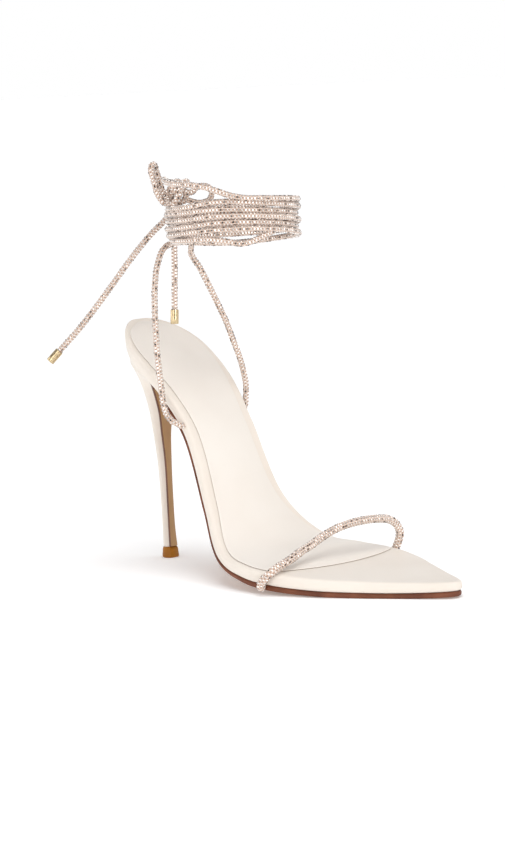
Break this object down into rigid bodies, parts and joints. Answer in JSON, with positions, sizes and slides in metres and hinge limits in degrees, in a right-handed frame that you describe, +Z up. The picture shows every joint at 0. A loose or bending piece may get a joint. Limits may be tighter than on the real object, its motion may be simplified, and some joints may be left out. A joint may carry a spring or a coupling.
{
  "type": "heeled sandal",
  "caption": "Pointed stiletto sandal with a satin-covered footbed, a stone-set cord across the toes and cord ties wound round the ankle.",
  "frame": {"origin": "on the floor, under the middle of the sandal's box without the bow and the free tie ends", "axes": "+X from the heel to the toe, +Y to the wearer's left, which is the medial side of this right shoe, +Z up"},
  "size_m": [0.2154, 0.0989, 0.1929],
  "materials": {
    "satin": "ivory satin, soft sheen",
    "sock_satin": "ivory satin, lightly padded",
    "outsole_leather": "red-brown dyed edge, burnished",
    "breast_leather": "tan, smooth",
    "lift_rubber": "mid brown, matt",
    "stone_cord": "blush net tube set with small clear stones",
    "gold": "polished pale gold"
  },
  "bodies": {
    "root": {"outsole": "outsole_leather", "wrapped_board": "satin", "sock": "sock_satin", "heel": "satin", "breast_cover": "breast_leather", "top_lift": "lift_rubber", "toe_strap": "stone_cord", "ankle_tie": "stone_cord", "tie_knot": "stone_cord", "tie_loop_up": "stone_cord", "tie_loop_side": "stone_cord", "tie_end_long": "stone_cord", "tie_end_short": "stone_cord", "ferrule_long": "gold", "ferrule_short": "gold"}
  },
  "joints": []
}
